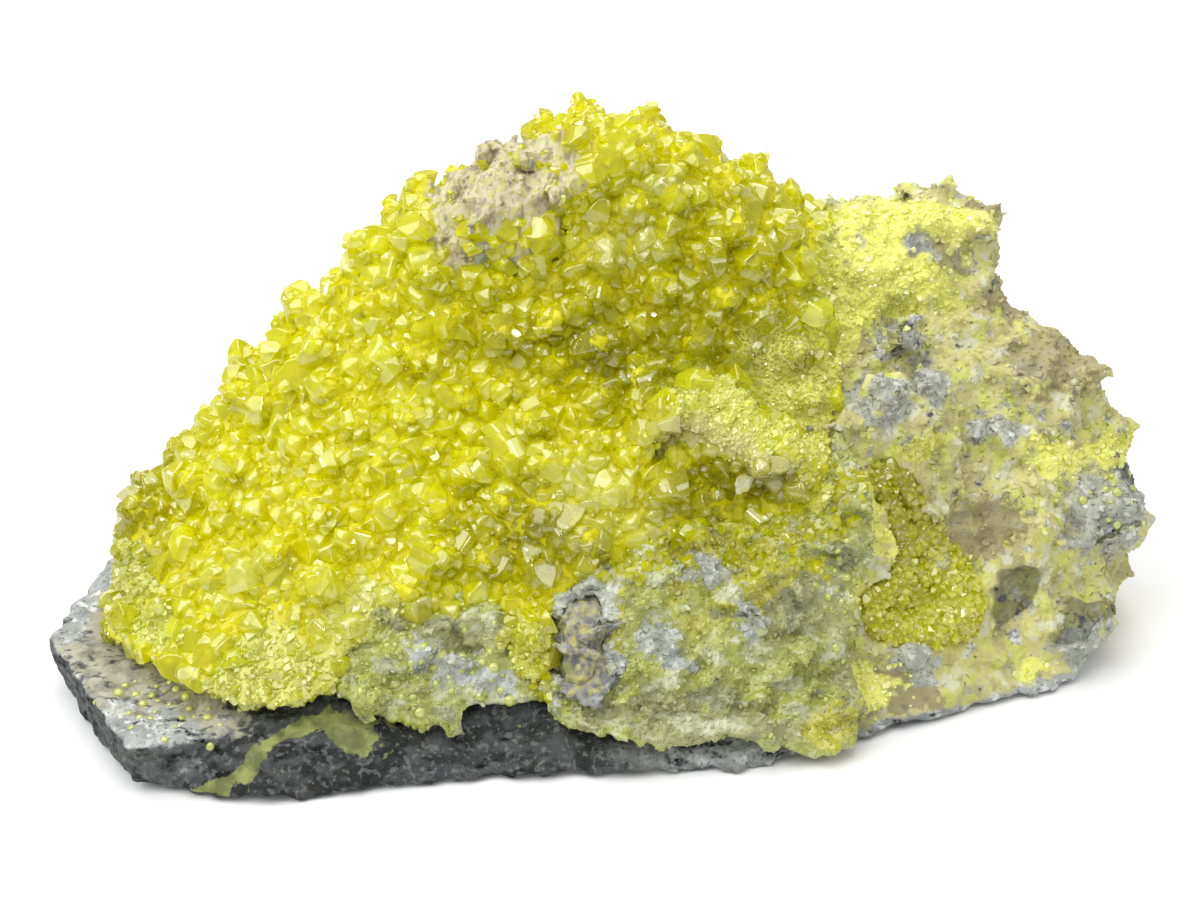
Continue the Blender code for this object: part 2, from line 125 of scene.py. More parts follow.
def finish(piece, kind, **settings):
    """Gives the piece a modifier with those settings and applies it."""
    only(piece)
    modifier = piece.modifiers.new(kind.title(), kind)
    for setting, value in settings.items():
        setattr(modifier, setting, value)
    bpy.ops.object.modifier_apply(modifier=modifier.name)


def skin_of(node, name, voxel, extras=()):
    """The skin of a solid and what sits in it, merged and cut again into small even faces."""
    piece = bpy.data.objects.new(name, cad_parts[node].data.copy())
    bpy.context.scene.collection.objects.link(piece)
    piece.data.materials.clear()
    only(piece)
    bpy.ops.object.mode_set(mode="EDIT")
    bpy.ops.mesh.select_all(action="SELECT")
    bpy.ops.mesh.remove_doubles(threshold=SAME_POINT)
    bpy.ops.object.mode_set(mode="OBJECT")
    if extras:
        for extra in extras:
            extra.select_set(True)
        bpy.ops.object.join()
    finish(piece, "REMESH", mode="VOXEL", voxel_size=voxel)
    return piece


def touch(piece, across, up):
    """Where a point of a plane that leans back with the front, in millimetres, meets the piece."""
    start = Vector((across, 0, 0)) * MM + UP_THE_FRONT * up * MM + Vector((AIM.x, AIM.y, 0)) + TOWARD_VIEWER
    return piece.ray_cast(start, -TOWARD_VIEWER)[1]


def angular_stone(name, seed, size):
    """A lump of rock with flat broken faces."""
    chance = random.Random(seed)
    bpy.ops.object.select_all(action="DESELECT")
    bpy.ops.mesh.primitive_cube_add(size=2)
    stone = bpy.context.active_object
    stone.name = name
    bpy.ops.object.mode_set(mode="EDIT")
    for cut in range(9):
        normal = Vector([chance.gauss(0, 1) for axis in range(3)]).normalized()
        bpy.ops.mesh.select_all(action="SELECT")
        bpy.ops.mesh.bisect(plane_co=normal * chance.uniform(0.45, 0.75), plane_no=normal,
                            use_fill=True, clear_outer=True)
    bpy.ops.object.mode_set(mode="OBJECT")
    stone.dimensions = stone.dimensions * size / max(stone.dimensions)
    bpy.ops.object.transform_apply(location=False, rotation=False, scale=True)
    return stone


def stones_on(ground, rows, first_seed, sunk=0, share=0):
    """A stone for each row, sunk into the ground by a length and by a share of the stone's own size."""
    stones = []
    for number, (across, up, size) in enumerate(rows):
        stone = angular_stone("stone", first_seed + number, size * MM)
        stone.location = touch(ground, across, up) - TOWARD_VIEWER * sunk
        stone.location -= TOWARD_VIEWER * size * share * MM
        stones.append(stone)
    return stones


# Each stone's place across and up the leaning plane, and its size, in millimetres.
STONES = (
    (62, 63, 9), (68, 53, 9), (57, 50, 10), (67, 74, 6), (57, 58, 7), (64, 46, 7), (75, 66, 7), (83, 44, 8),
    (88, 54, 9), (96, 46, 7), (73, 40, 7), (84, 30, 8), (92, 24, 9), (64, -4, 7), (101, 2, 8), (109, 36, 8),
    (80, 76, 7), (92, 68, 8), (101, 55, 8), (74, -9, 7), (84, -4, 7), (76, 86, 9), (70, 87, 8),
    (48, 85, 6), (48, 79, 7), (48, 73, 6), (48, 67, 7), (48, 61, 6), (49, 55, 6),
)
SUMMIT_STONES = (
    (-19, 97, 11), (-12, 98, 10), (-25, 94, 11), (-17, 92, 11), (-27, 88, 10), (-29, 81, 8), (-10, 94, 9),
    (-23, 86, 9), (-14, 88, 8), (-6, 99, 8), (-28, 84, 8),
)
EDGE_STONES = (
    (-26, 94, 7), (-29, 89, 8), (-31, 84, 7), (-29, 79, 7), (-24, 77, 6), (-8, 87, 7), (-20, 99, 7),
    (-9, 93, 7),
)
stones = stones_on(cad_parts["host_rock"], STONES, 0)
stones += stones_on(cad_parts["crystal_druse"], SUMMIT_STONES, 50, sunk=4.5 * MM)
stones += stones_on(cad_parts["crystal_druse"], EDGE_STONES, 70, sunk=1.5 * MM)
rock = skin_of("host_rock", "rock_body", ROCK_VOXEL, stones)


def roughen(piece, basis, size, height, group=""):
    """Raises and sinks the skin by a noise whose lumps have that size."""
    texture = bpy.data.textures.new("lumps", "CLOUDS")
    texture.noise_basis = basis
    texture.noise_scale = size
    texture.noise_depth = 1
    finish(piece, "DISPLACE", texture=texture, texture_coords="LOCAL", strength=height, vertex_group=group)
    bpy.data.textures.remove(texture)


def points_of(piece, normals=False):
    """The piece's points, or its normals, as rows of x, y and z."""
    rows = np.empty(len(piece.data.vertices) * 3)
    if normals:
        piece.data.vertex_normals.foreach_get("vector", rows)
    else:
        piece.data.vertices.foreach_get("co", rows)
    return rows.reshape(-1, 3)


def front_places(piece, wander=5):
    """Where each point lies on a plane that leans back with the front, in millimetres, a little astray."""
    points = points_of(piece) / MM
    astray = np.array([noise.noise_vector(Vector(point) / 12) for point in points]) * wander
    astray += np.array([noise.noise_vector(Vector(point) / 3.5) for point in points]) * wander / 2.5
    points = points + astray - np.array(AIM) / MM * (1, 1, 0)
    up = points[:, 1] * math.sin(CAMERA_HEIGHT) + points[:, 2] * math.cos(CAMERA_HEIGHT)
    return np.stack([points[:, 0], up], axis=1)


def in_ovals(places, ovals, edge=0.5):
    """1 inside the ovals, fading to 0 around them over that share of their size on either side."""
    inside = np.zeros(len(places))
    for across, up, half_across, half_up, turn in ovals:
        angle = math.radians(turn)
        offset = places - (across, up)
        along = offset[:, 0] * math.cos(angle) + offset[:, 1] * math.sin(angle)
        aside = offset[:, 1] * math.cos(angle) - offset[:, 0] * math.sin(angle)
        far = np.hypot(along / half_across, aside / half_up)
        inside = np.maximum(inside, np.clip((1 + edge - far) / (2 * edge), 0, 1))
    return inside


def store(piece, name, amounts):
    """Keeps an amount for each point as the piece's own attribute."""
    attribute = piece.data.attributes.new(name, "FLOAT", "POINT")
    attribute.data.foreach_set("value", np.ascontiguousarray(amounts, dtype=np.float32))


def facing(normals, slope, start=0, toward=TOWARD_VIEWER):
    """From 0 where the skin turns away from a direction to 1 where it faces it."""
    return np.clip((normals @ np.array(toward)) * slope + start, 0, 1)


def ramp(values, start, end):
    """From 0 where a value is at the start to 1 where it is at the end."""
    return np.clip((values - start) / (end - start), 0, 1)


def swell_where(piece, name, amounts, height):
    """Raises the skin by its amounts, kept as a vertex group of that name."""
    group = piece.vertex_groups.new(name=name)
    for point in np.flatnonzero(amounts):
        group.add([int(point)], amounts[point], "REPLACE")
    finish(piece, "DISPLACE", strength=height, mid_level=0, vertex_group=name)


def trim_foot(piece):
    """Cuts off what hangs below the table's top."""
    only(piece)
    bpy.ops.object.mode_set(mode="EDIT")
    bpy.ops.mesh.select_all(action="SELECT")
    bpy.ops.mesh.bisect(plane_co=(0, 0, 0), plane_no=UP, use_fill=True, clear_inner=True,
                        threshold=SAME_POINT)
    bpy.ops.object.mode_set(mode="OBJECT")


def keep_hollows(piece, depth):
    """Stores how far each point lies below its smoothed surroundings, 1 in a pit of that depth."""
    rough = points_of(piece)
    normals = points_of(piece, normals=True)
    smoothed = piece.copy()
    smoothed.data = piece.data.copy()
    bpy.context.scene.collection.objects.link(smoothed)
    finish(smoothed, "SMOOTH", factor=0.5, iterations=12)
    below = np.sum((points_of(smoothed) - rough) * normals, axis=1)
    bpy.data.objects.remove(smoothed)
    store(piece, "hollow", np.clip(0.5 + below / depth / 2, 0, 1))


def gather(name, forms):
    """Puts forms in a collection of their own, out of the scene."""
    kept = bpy.data.collections.new(name)
    for form in forms:
        bpy.context.scene.collection.objects.unlink(form)
        kept.objects.link(form)
    return kept


def scattered(name, bed, forms, where, spacing, sizes, lean, sink, seed):
    """Forms that stand on a bed where its stored amount says, as one mesh, each one leaning by chance."""
    bpy.ops.object.select_all(action="DESELECT")
    piece = bpy.data.objects.new(name, bed.data.copy())
    bpy.context.scene.collection.objects.link(piece)
    tree = bpy.data.node_groups.new(name, "GeometryNodeTree")
    tree.interface.new_socket("Geometry", in_out="INPUT", socket_type="NodeSocketGeometry")
    tree.interface.new_socket("Geometry", in_out="OUTPUT", socket_type="NodeSocketGeometry")

    def node(kind, inputs=None, **settings):
        """A geometry node with its settings, and its sockets linked or set."""
        made = tree.nodes.new(kind)
        for setting, value in settings.items():
            setattr(made, setting, value)
        for socket, value in (inputs or {}).items():
            if isinstance(value, bpy.types.NodeSocket):
                tree.links.new(value, made.inputs[socket])
            else:
                made.inputs[socket].default_value = value
        return made

    def chance(low, high, offset, kind="FLOAT"):
        """A random number, or vector, between two limits for each point."""
        made = node("FunctionNodeRandomValue", data_type=kind)
        first = 0 if kind == "FLOAT_VECTOR" else 2
        made.inputs[first].default_value = low
        made.inputs[first + 1].default_value = high
        made.inputs["Seed"].default_value = seed + offset
        return made.outputs[0 if kind == "FLOAT_VECTOR" else 1]

    start = node("NodeGroupInput")
    amount = node("GeometryNodeInputNamedAttribute", {"Name": where}, data_type="FLOAT")
    spots = node("GeometryNodeDistributePointsOnFaces", {
        "Mesh": start.outputs[0], "Distance Min": spacing, "Density Max": 4 / spacing ** 2,
        "Density Factor": amount.outputs["Attribute"], "Seed": seed}, distribute_method="POISSON")
    leaning = node("ShaderNodeVectorMath", {0: chance((-lean,) * 3, (lean,) * 3, 1, "FLOAT_VECTOR"),
                                            1: spots.outputs["Normal"]}, operation="ADD")
    upright = node("FunctionNodeAlignRotationToVector", {"Vector": leaning.outputs[0]}, axis="Z")
    spun = node("FunctionNodeRotateRotation", {
        "Rotation": upright.outputs[0],
        "Rotate By": node("FunctionNodeAxisAngleToRotation", {
            "Axis": (0, 0, 1), "Angle": chance(0.0, math.tau, 2)}).outputs[0]}, rotation_space="LOCAL")
    spread = node("ShaderNodeMath", {0: chance(0.0, 1.0, 3), 1: 2.0}, operation="POWER")
    size = node("ShaderNodeMapRange", {"Value": spread.outputs[0], "To Min": sizes[0], "To Max": sizes[1]})
    picks = node("GeometryNodeCollectionInfo", {
        "Collection": forms, "Separate Children": True, "Reset Children": True})
    grown = node("GeometryNodeInstanceOnPoints", {
        "Points": spots.outputs["Points"], "Instance": picks.outputs[0], "Pick Instance": True,
        "Rotation": spun.outputs[0], "Scale": size.outputs["Result"]})
    sunk = node("GeometryNodeTranslateInstances", {
        "Instances": grown.outputs[0], "Translation": (0, 0, -sink), "Local Space": True})
    toned = node("GeometryNodeStoreNamedAttribute", {
        "Geometry": sunk.outputs[0], "Name": "tone", "Value": chance(0.0, 1.0, 4)},
        data_type="FLOAT", domain="INSTANCE")
    real = node("GeometryNodeRealizeInstances", {"Geometry": toned.outputs[0]})
    end = node("NodeGroupOutput")
    tree.links.new(real.outputs[0], end.inputs[0])
    finish(piece, "NODES", node_group=tree)
    bpy.data.node_groups.remove(tree)
    piece.data.materials.clear()
    return piece


# Ovals on the leaning plane: the middle and the half sizes in millimetres, and the turn in degrees.
SUMMIT_OVALS = ((-18, 95, 15, 8, 20), (-27, 87, 6, 11, 0))


def crumbly_part(piece):
    """1 on the summit's rock and on the right half of the rock above its foot, less on its back."""
    points = points_of(piece) / MM
    normals = points_of(piece, normals=True)
    right = ramp(points[:, 0], 40, 48) * ramp(points[:, 2], 8, 14)
    right *= np.maximum(facing(normals, 2, 0.4, toward=(0.2, -0.9, 0.4)), 0.2)
    summit = in_ovals(front_places(piece), SUMMIT_OVALS, edge=0.3) * 0.7
    return np.maximum(right, summit * facing(normals, 4))


chip_forms = gather("chip_forms", [angular_stone("chip", 200 + number, 1.0) for number in range(5)])
store(rock, "crumbly", crumbly_part(rock))
lumps = scattered("lumps", rock, chip_forms, "crumbly", spacing=3.6 * MM, sizes=(2.0 * MM, 6.5 * MM),
                  lean=0.9, sink=0.9 * MM, seed=13)
only(rock)
lumps.select_set(True)
bpy.ops.object.join()
finish(rock, "REMESH", mode="VOXEL", voxel_size=ROCK_VOXEL)
finish(rock, "SMOOTH", factor=0.5, iterations=3)
roughen(rock, "VORONOI_F2_F1", 12 * MM, 2.2 * MM)
roughen(rock, "VORONOI_F1", 4.5 * MM, 1.4 * MM)
finish(rock, "SMOOTH", factor=0.4, iterations=1)
roughen(rock, "ORIGINAL_PERLIN", 2.2 * MM, 1.2 * MM)
back = facing(points_of(rock, normals=True), 3, -0.9, toward=-TOWARD_VIEWER)
swell_where(rock, "back", back * ramp(points_of(rock)[:, 2] / MM, 0, 10), 0.5 * MM)
roughen(rock, "VORONOI_F2_F1", 30 * MM, 7 * MM, "back")
roughen(rock, "VORONOI_F1", 11 * MM, 3 * MM, "back")
trim_foot(rock)
keep_hollows(rock, 1.2 * MM)

# Where lime druse, bare stone and the rock's other looks show.
LIME_OVALS = (
    (56, 87, 12, 6, 0), (69, 87, 11, 5, 0), (55, 74, 7, 8, 0), (50, 66, 4, 8, 0), (108, 41, 6, 3, 10),
    (96, 37, 5, 5, 0), (90, -7, 5, 1.5, 15), (53, -9, 7, 5, 0), (48, 18, 4, 12, 0), (64, 73, 9, 4, 0),
    (57, 26, 3, 9, 20), (66, 41, 7, 2, 0), (48, 74, 3, 16, 0),
)
BARE_OVALS = (
    (62, 63, 5, 5, 0), (68, 53, 5, 5, 0), (67, 72, 5, 3, 0), (57, 50, 6, 4, 0), (62, 80, 6, 3, 0),
    (106, 26, 9, 10, 0), (64, -4, 4, 5, 0), (83, 42, 6, 3, 0), (101, 0, 6, 4, 0), (113, 35, 5, 6, 0),
)
# Darker patches on the right; the first is a painted shadow along a crevice.
DARK_OVALS = ((87, 11, 8, 3.5, 40), (114, 37, 4, 5, 0), (101, 4, 8, 3, 20))
TAN_OVALS = (
    (77, 23, 8, 9, 0), (96, 59, 10, 7, 0), (86, 71, 5, 3, 0), (81, 91, 4, 3, 0), (60, -10, 8, 4, 0),
    (67, 79, 8, 2.5, 0),
)
PATCH_OVALS = ((-74, -23.5, 6, 1.4, 30), (-66, -20, 8, 2.2, 36), (-55, -14, 8, 2.2, 15), (-47, -16, 5, 3, 0))
CRAG_OVALS = ((-4, 2, 8, 18, 0),)
SUMMIT_EDGES = ((-13, 85, 10, 8, 0), (-28, 95, 8, 8, 0))
SLAB_OVALS = ((-98, 0, 14, 10, 0), (-84, -8, 16, 6, -20))
BEAD_OVALS = ((-85, -11, 13, 4, -8), (48, 18, 3.5, 12, 0), (105, 36, 6, 8, 0), (113, 28, 3, 8, 0))
CREAM_OVALS = ((-32, 5, 12, 4, 5), (-4, 14, 5, 6, 70), (-6, -8, 9, 4, 0))
OVERGROWN_OVALS = ((-16, 79, 11, 6, 0), (-6, 86, 5, 10, 0), (-18, 104, 14, 4, 15))
PARTING_POINT = (-83, -25)
PARTING_NORMAL = (0.669, -0.743)

rock_places = front_places(rock)
rock_normals = points_of(rock, normals=True)
rock_front = facing(rock_normals, 4, 1)
rock_height = points_of(rock)[:, 2] / MM
clear_of_table = ramp(rock_height, 2.5, 3.5)
store(rock, "lime", in_ovals(rock_places, LIME_OVALS) * rock_front * clear_of_table)
store(rock, "beads", in_ovals(rock_places, BEAD_OVALS) * rock_front * clear_of_table)
for name, ovals in (("bare", BARE_OVALS), ("dark", DARK_OVALS), ("tan", TAN_OVALS)):
    store(rock, name, in_ovals(rock_places, ovals) * rock_front)
store(rock, "patch", in_ovals(rock_places, PATCH_OVALS, edge=0.2) * rock_front)
crag_part = in_ovals(rock_places, CRAG_OVALS)
summit_part = np.maximum(in_ovals(rock_places, SUMMIT_OVALS + SUMMIT_EDGES), crag_part * 0.5)
store(rock, "summit", summit_part * rock_front)
store(rock, "slab_top", in_ovals(rock_places, SLAB_OVALS) * facing(rock_normals, 3, -1, toward=UP))

# A dark parting climbs the slab's front to the right. The rock beyond it lies in the druse's shade.
# The shaded amount is painted shade: under the druse, on the slab's steep front and among the crag's leaves.
steady_places = front_places(rock, wander=1.5)
beyond_parting = (steady_places - PARTING_POINT) @ np.array(PARTING_NORMAL)
shade_under_druse = ramp(beyond_parting, -1.5, 1.5) * ramp(rock_places[:, 1], -4, -8)
shade_under_druse *= np.maximum(ramp(rock_places[:, 0], 28, -2), 0.35) * ramp(rock_places[:, 0], 75, 55)
slab_face_shade = ramp(beyond_parting, 1.5, -1.5) * np.minimum(facing(rock_normals, -2.4, 1.7, toward=UP), 0.9)
shaded_part = np.maximum(shade_under_druse, slab_face_shade * (rock_places[:, 0] < -50)) * rock_front
store(rock, "shaded", np.maximum(shaded_part, crag_part * 0.55))
store(rock, "parting", np.clip(1 - np.abs(beyond_parting), 0, 1) * (steady_places[:, 0] < -60))
dusted = ramp(rock_places[:, 0], 38, 46) * ramp(rock_height, 0.5, 4.5) * facing(rock_normals, 1.3, 1.2)
store(rock, "dust", np.maximum(dusted, in_ovals(rock_places, CREAM_OVALS) * 0.8))
store(rock, "crumbly", crumbly_part(rock))
store(rock, "overgrown", in_ovals(rock_places, OVERGROWN_OVALS) * facing(rock_normals, 4))


def screen_colour(red, green, blue):
    """A colour as it looks on a screen, from 0 to 255, in the shader's own values."""
    return (*[(c / 255) ** 2.2 for c in (red, green, blue)], 1)


def new_finish(name):
    """A new material, its node tree and its shader."""
    material = bpy.data.materials.new(name)
    material.use_nodes = True
    return material, material.node_tree, material.node_tree.nodes["Principled BSDF"]


def add(tree, kind, inputs=None, **settings):
    """A shader node with its settings, and its sockets linked or set."""
    made = tree.nodes.new("ShaderNode" + kind)
    for setting, value in settings.items():
        setattr(made, setting, value)
    for socket, value in (inputs or {}).items():
        if isinstance(value, bpy.types.NodeSocket):
            tree.links.new(value, made.inputs[socket])
        else:
            made.inputs[socket].default_value = value
    return made


def grain_of(tree, size, detail=2.0, stretch=(1, 1, 1), turn=(0, 0, 0)):
    """Noise from 0 to 1 in the object's own space, with lumps of that size, drawn out along the stretch."""
    place = add(tree, "TexCoord").outputs["Object"]
    turned = add(tree, "Mapping", {"Vector": place, "Rotation": turn, "Scale": stretch}).outputs["Vector"]
    return add(tree, "TexNoise", {"Vector": turned, "Scale": 1 / size, "Detail": detail}).outputs["Fac"]


def between(tree, value, low, high):
    """The value stretched so that low gives 0 and high gives 1, and no further."""
    return add(tree, "MapRange", {"Value": value, "From Min": low, "From Max": high}).outputs["Result"]


def reckon(tree, operation, first, second):
    """The sum, product or other Math result of two values."""
    return add(tree, "Math", {0: first, 1: second}, operation=operation).outputs["Value"]


PAINT_EDGE = (0.4, 0.62)


def stored(tree, name):
    """An amount that the piece keeps for each of its points."""
    return add(tree, "Attribute", attribute_name=name).outputs["Fac"]


def painted(tree, name, grain, spread):
    """A stored amount with its edge broken up by a grain."""
    wavy = reckon(tree, "MULTIPLY", reckon(tree, "SUBTRACT", grain, 0.5), spread)
    return between(tree, reckon(tree, "ADD", stored(tree, name), wavy), *PAINT_EDGE)


def over(tree, under, colour, amount, share=1):
    """A colour laid over another by an amount, or by a share of it."""
    if share != 1:
        amount = reckon(tree, "MULTIPLY", amount, share)
    mix = tree.nodes.new("ShaderNodeMix")
    mix.data_type = "RGBA"
    for socket, value in ((0, amount), (6, under), (7, colour)):
        if isinstance(value, bpy.types.NodeSocket):
            tree.links.new(value, mix.inputs[socket])
        else:
            mix.inputs[socket].default_value = value
    return mix.outputs[2]


def mottled(tree, under, colour, grain, low, high):
    """A colour laid over another where a grain rises from low to high."""
    return over(tree, under, colour, between(tree, grain, low, high))


def relief(tree, grain, strength, depth, under=None):
    """Fine relief that a grain gives the skin, on top of any coarser relief."""
    bump = add(tree, "Bump", {"Height": grain, "Strength": strength, "Distance": depth})
    if under:
        tree.links.new(under, bump.inputs["Normal"])
    return bump.outputs["Normal"]


BEDDING = (math.radians(-20), 0, math.radians(14))
GREY = screen_colour(142, 146, 144)
PALE_GREY = screen_colour(180, 184, 180)
WHITE_GRAIN = screen_colour(218, 220, 216)
BLUE_GREY = screen_colour(112, 118, 122)
SLATE = screen_colour(92, 96, 98)
BLACK_MICA = screen_colour(24, 25, 26)


def stone_colour(tree):
    """Grey rock: white, grey and blue-grey grains, with black mica gathered in flecks along the bedding."""
    coarse = grain_of(tree, 6 * MM, 3)
    medium = grain_of(tree, 2.4 * MM, 4)
    fine = grain_of(tree, 0.8 * MM, 2)
    bands = between(tree, grain_of(tree, 15 * MM, 2), 0.45, 0.95)
    streaks = grain_of(tree, 3.2 * MM, 4, stretch=(0.6, 1, 1.6), turn=BEDDING)
    streaks = reckon(tree, "SUBTRACT", streaks, bands)
    colour = mottled(tree, GREY, PALE_GREY, coarse, 0.35, 0.65)
    colour = mottled(tree, colour, WHITE_GRAIN, medium, 0.52, 0.66)
    colour = mottled(tree, colour, BLUE_GREY, fine, 0.55, 0.68)
    colour = mottled(tree, colour, SLATE, streaks, 0.52, 0.64)
    black = reckon(tree, "MULTIPLY", between(tree, fine, 0.46, 0.54), between(tree, streaks, 0.55, 0.62))
    return over(tree, colour, BLACK_MICA, black)


def fibrous_beige(tree):
    """The summit's rock: bleached and fibrous, with a little sulfur dust in its grain."""
    grain = grain_of(tree, 1.6 * MM, 3)
    fibres = grain_of(tree, 2.2 * MM, 4, stretch=(1.6, 1, 0.5), turn=(0, math.radians(35), 0))
    beige = mottled(tree, screen_colour(204, 194, 166), screen_colour(190, 184, 120), grain, 0.42, 0.6)
    return mottled(tree, beige, screen_colour(152, 144, 122), fibres, 0.5, 0.64)


CREAM = screen_colour(206, 201, 138)
OCHRE_CREAM = screen_colour(180, 174, 124)
LIME_CREAM = screen_colour(200, 204, 112)
CHALK = screen_colour(206, 207, 178)
SPECK = screen_colour(60, 60, 56)
TAN = screen_colour(148, 138, 108)
PIT_SHADE = screen_colour(88, 84, 60)
DARKENED_GREY = screen_colour(62, 66, 66)
DARKER_GREY = screen_colour(52, 56, 56)
SHADED_GREY = screen_colour(60, 64, 64)
SHADED_BLACK = screen_colour(8, 9, 10)
SALT = screen_colour(140, 144, 141)
PISTACHIO = screen_colour(148, 154, 93)
DARK_PISTACHIO = screen_colour(108, 113, 74)
PARTING_BLACK = screen_colour(14, 15, 16)
SLAB_CREAM = screen_colour(174, 169, 146)
SLAB_TAN = screen_colour(138, 134, 116)
SLAB_DASH = screen_colour(74, 76, 72)
LIME_DUST = screen_colour(226, 226, 124)

rock_finish, tree, shader = new_finish("foliated_rock")
broad = grain_of(tree, 9 * MM, 3)
crumbs = grain_of(tree, 1.6 * MM, 3)
clumps = grain_of(tree, 4 * MM, 4)
patches = grain_of(tree, 4.5 * MM, 4, stretch=(1.3, 1, 0.8))
flecks = grain_of(tree, 4.5 * MM, 5, stretch=(0.7, 1, 1.5), turn=BEDDING)
dashes = grain_of(tree, 1.6 * MM, 3, stretch=(0.6, 1, 1))
darkness = painted(tree, "dark", broad, 1.2)
shaded = stored(tree, "shaded")

cream = mottled(tree, CREAM, OCHRE_CREAM, broad, 0.42, 0.6)
cream = mottled(tree, cream, LIME_CREAM, patches, 0.48, 0.62)
cream = mottled(tree, cream, CHALK, clumps, 0.54, 0.62)
specks = reckon(tree, "MULTIPLY", between(tree, crumbs, 0.66, 0.72), between(tree, patches, 0.44, 0.54))
cream = over(tree, cream, SPECK, specks)
dust = reckon(tree, "MULTIPLY", painted(tree, "dust", broad, 1.1), between(tree, clumps, 0.3, 0.4))
# Painted shade: dark grey with black flecks, for the rock in the druse's shade.
painted_shade = mottled(tree, SHADED_GREY, SHADED_BLACK, flecks, 0.46, 0.54)
salt = reckon(tree, "MULTIPLY", between(tree, grain_of(tree, 1.3 * MM, 4), 0.56, 0.62), shaded)
pistachio = mottled(tree, PISTACHIO, DARK_PISTACHIO, clumps, 0.4, 0.6)
cream_top = mottled(tree, SLAB_CREAM, SLAB_TAN, patches, 0.45, 0.6)
cream_top = mottled(tree, cream_top, SLAB_DASH, dashes, 0.55, 0.63)

colour = over(tree, stone_colour(tree), DARKENED_GREY, darkness, 0.7)
colour = over(tree, colour, cream, dust)
colour = over(tree, colour, TAN, painted(tree, "tan", crumbs, 1.6), 0.75)
colour = over(tree, colour, stone_colour(tree), painted(tree, "bare", clumps, 1.7), 0.8)
colour = over(tree, colour, DARKER_GREY, darkness, 0.6)
# Painted shade in the pits and hollows of the skin.
colour = over(tree, colour, PIT_SHADE, between(tree, stored(tree, "hollow"), 0.6, 1), 0.6)
# Painted shade under the druse, on the slab's steep front and among the crag's leaves.
colour = over(tree, colour, painted_shade, shaded, 0.93)
colour = over(tree, colour, SALT, salt, 0.34)
colour = over(tree, colour, pistachio, painted(tree, "patch", crumbs, 2.2))
colour = over(tree, colour, PARTING_BLACK, stored(tree, "parting"), 0.8)
colour = over(tree, colour, fibrous_beige(tree), painted(tree, "summit", crumbs, 0.8))
colour = over(tree, colour, cream_top, painted(tree, "slab_top", crumbs, 1.2), 0.8)
colour = over(tree, colour, LIME_DUST, painted(tree, "lime", clumps, 1.5))
tree.links.new(colour, shader.inputs["Base Color"])
shader.inputs["Roughness"].default_value = 0.85
shader.inputs["Specular IOR Level"].default_value = 0.25
pits = relief(tree, crumbs, 0.6, 0.4 * MM)
grit = relief(tree, grain_of(tree, 0.5 * MM, 2), 0.5, 0.15 * MM, pits)
tree.links.new(grit, shader.inputs["Normal"])
rock.data.materials.append(rock_finish)
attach(rock, "root")
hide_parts("host_rock")


# The crumbs: chips of the same rock that the sulfur dust has cemented all over the right half. The thin
# leaves of a crag stand out of the rock in the midst of the sulfur, and one cream crumb sticks to the druse.

chips = scattered("rock_crumbs", rock, chip_forms, "crumbly", spacing=1.6 * MM, sizes=(0.5 * MM, 1.9 * MM),
                  lean=0.9, sink=0.25 * MM, seed=11)

LEAF_THICKNESS = 2.6 * MM
LEAF_SUNK = 2.4 * MM
LEAF_LEAN = (math.radians(-18), math.radians(38))
CRUMB_PLACE = (28.6, 33)
CRUMB_SIZE = 3.6 * MM
CRUMB_PROUD = 1.5 * MM
CRAG_LEAVES = (
    (-5, -8, 13), (-9, -9, 12), (1, -8, 12), (-12, -5, 10), (-3, -5, 13), (-8, -3, 12), (1, -3, 11),
    (-5, 0, 12), (-1, 3, 12), (-7, 4, 10), (-4, 7, 11), (0, 9, 10), (-5, 11, 10), (-2, 14, 9), (-6, 15, 8),
    (-3, 17, 7),
)


def plate(name, seed, length, thickness, turn):
    """A thin leaf of foliated rock with broken edges, lying askew and turned about the upright."""
    leaf = angular_stone(name, seed, length)
    leaf.scale = (1, 0.8, thickness / leaf.dimensions.z)
    leaf.rotation_euler = (*LEAF_LEAN, turn)
    bpy.ops.object.transform_apply(location=False, rotation=True, scale=True)
    return leaf


leaves = []
for number, (across, up, size) in enumerate(CRAG_LEAVES):
    leaf = plate("crag_leaf", 80 + number, size * MM, LEAF_THICKNESS, number)
    leaf.location = touch(rock, across, up) - TOWARD_VIEWER * LEAF_SUNK
    leaves.append(leaf)
only(leaves[0])
for leaf in leaves:
    leaf.select_set(True)
bpy.ops.object.join()
crag = leaves[0]
crag.name = "foliated_crag"
bpy.ops.object.transform_apply()
finish(crag, "REMESH", mode="VOXEL", voxel_size=0.45 * MM)
roughen(crag, "VORONOI_F1", 3.2 * MM, 2.6 * MM)
roughen(crag, "ORIGINAL_PERLIN", 1.2 * MM, 1.1 * MM)
keep_hollows(crag, 0.8 * MM)
crag_places = front_places(crag)
store(crag, "summit", in_ovals(crag_places, CRAG_OVALS) * 0.5)
# Painted shade among the crag's leaves.
store(crag, "shaded", in_ovals(crag_places, CRAG_OVALS) * 0.55)
crumb = angular_stone("cream_crumb", 210, CRUMB_SIZE)
crumb.location = touch(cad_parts["crystal_druse"], *CRUMB_PLACE) + TOWARD_VIEWER * CRUMB_PROUD
bpy.ops.object.transform_apply()
finish(crumb, "SUBSURF", levels=2, subdivision_type="SIMPLE")
roughen(crumb, "ORIGINAL_PERLIN", 1.2 * MM, 0.8 * MM)
store(crumb, "dust", np.ones(len(crumb.data.vertices)))
for piece in (chips, crag, crumb):
    piece.data.materials.append(rock_finish)
    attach(piece, "root")
    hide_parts("host_rock")


# The massive sulfur: a waxy apple-green crust, low on the front, fine-grained and translucent at its edges.
# Scraps of grey rock and cream dust are caught in it, and its foot ends in a rounded lip.

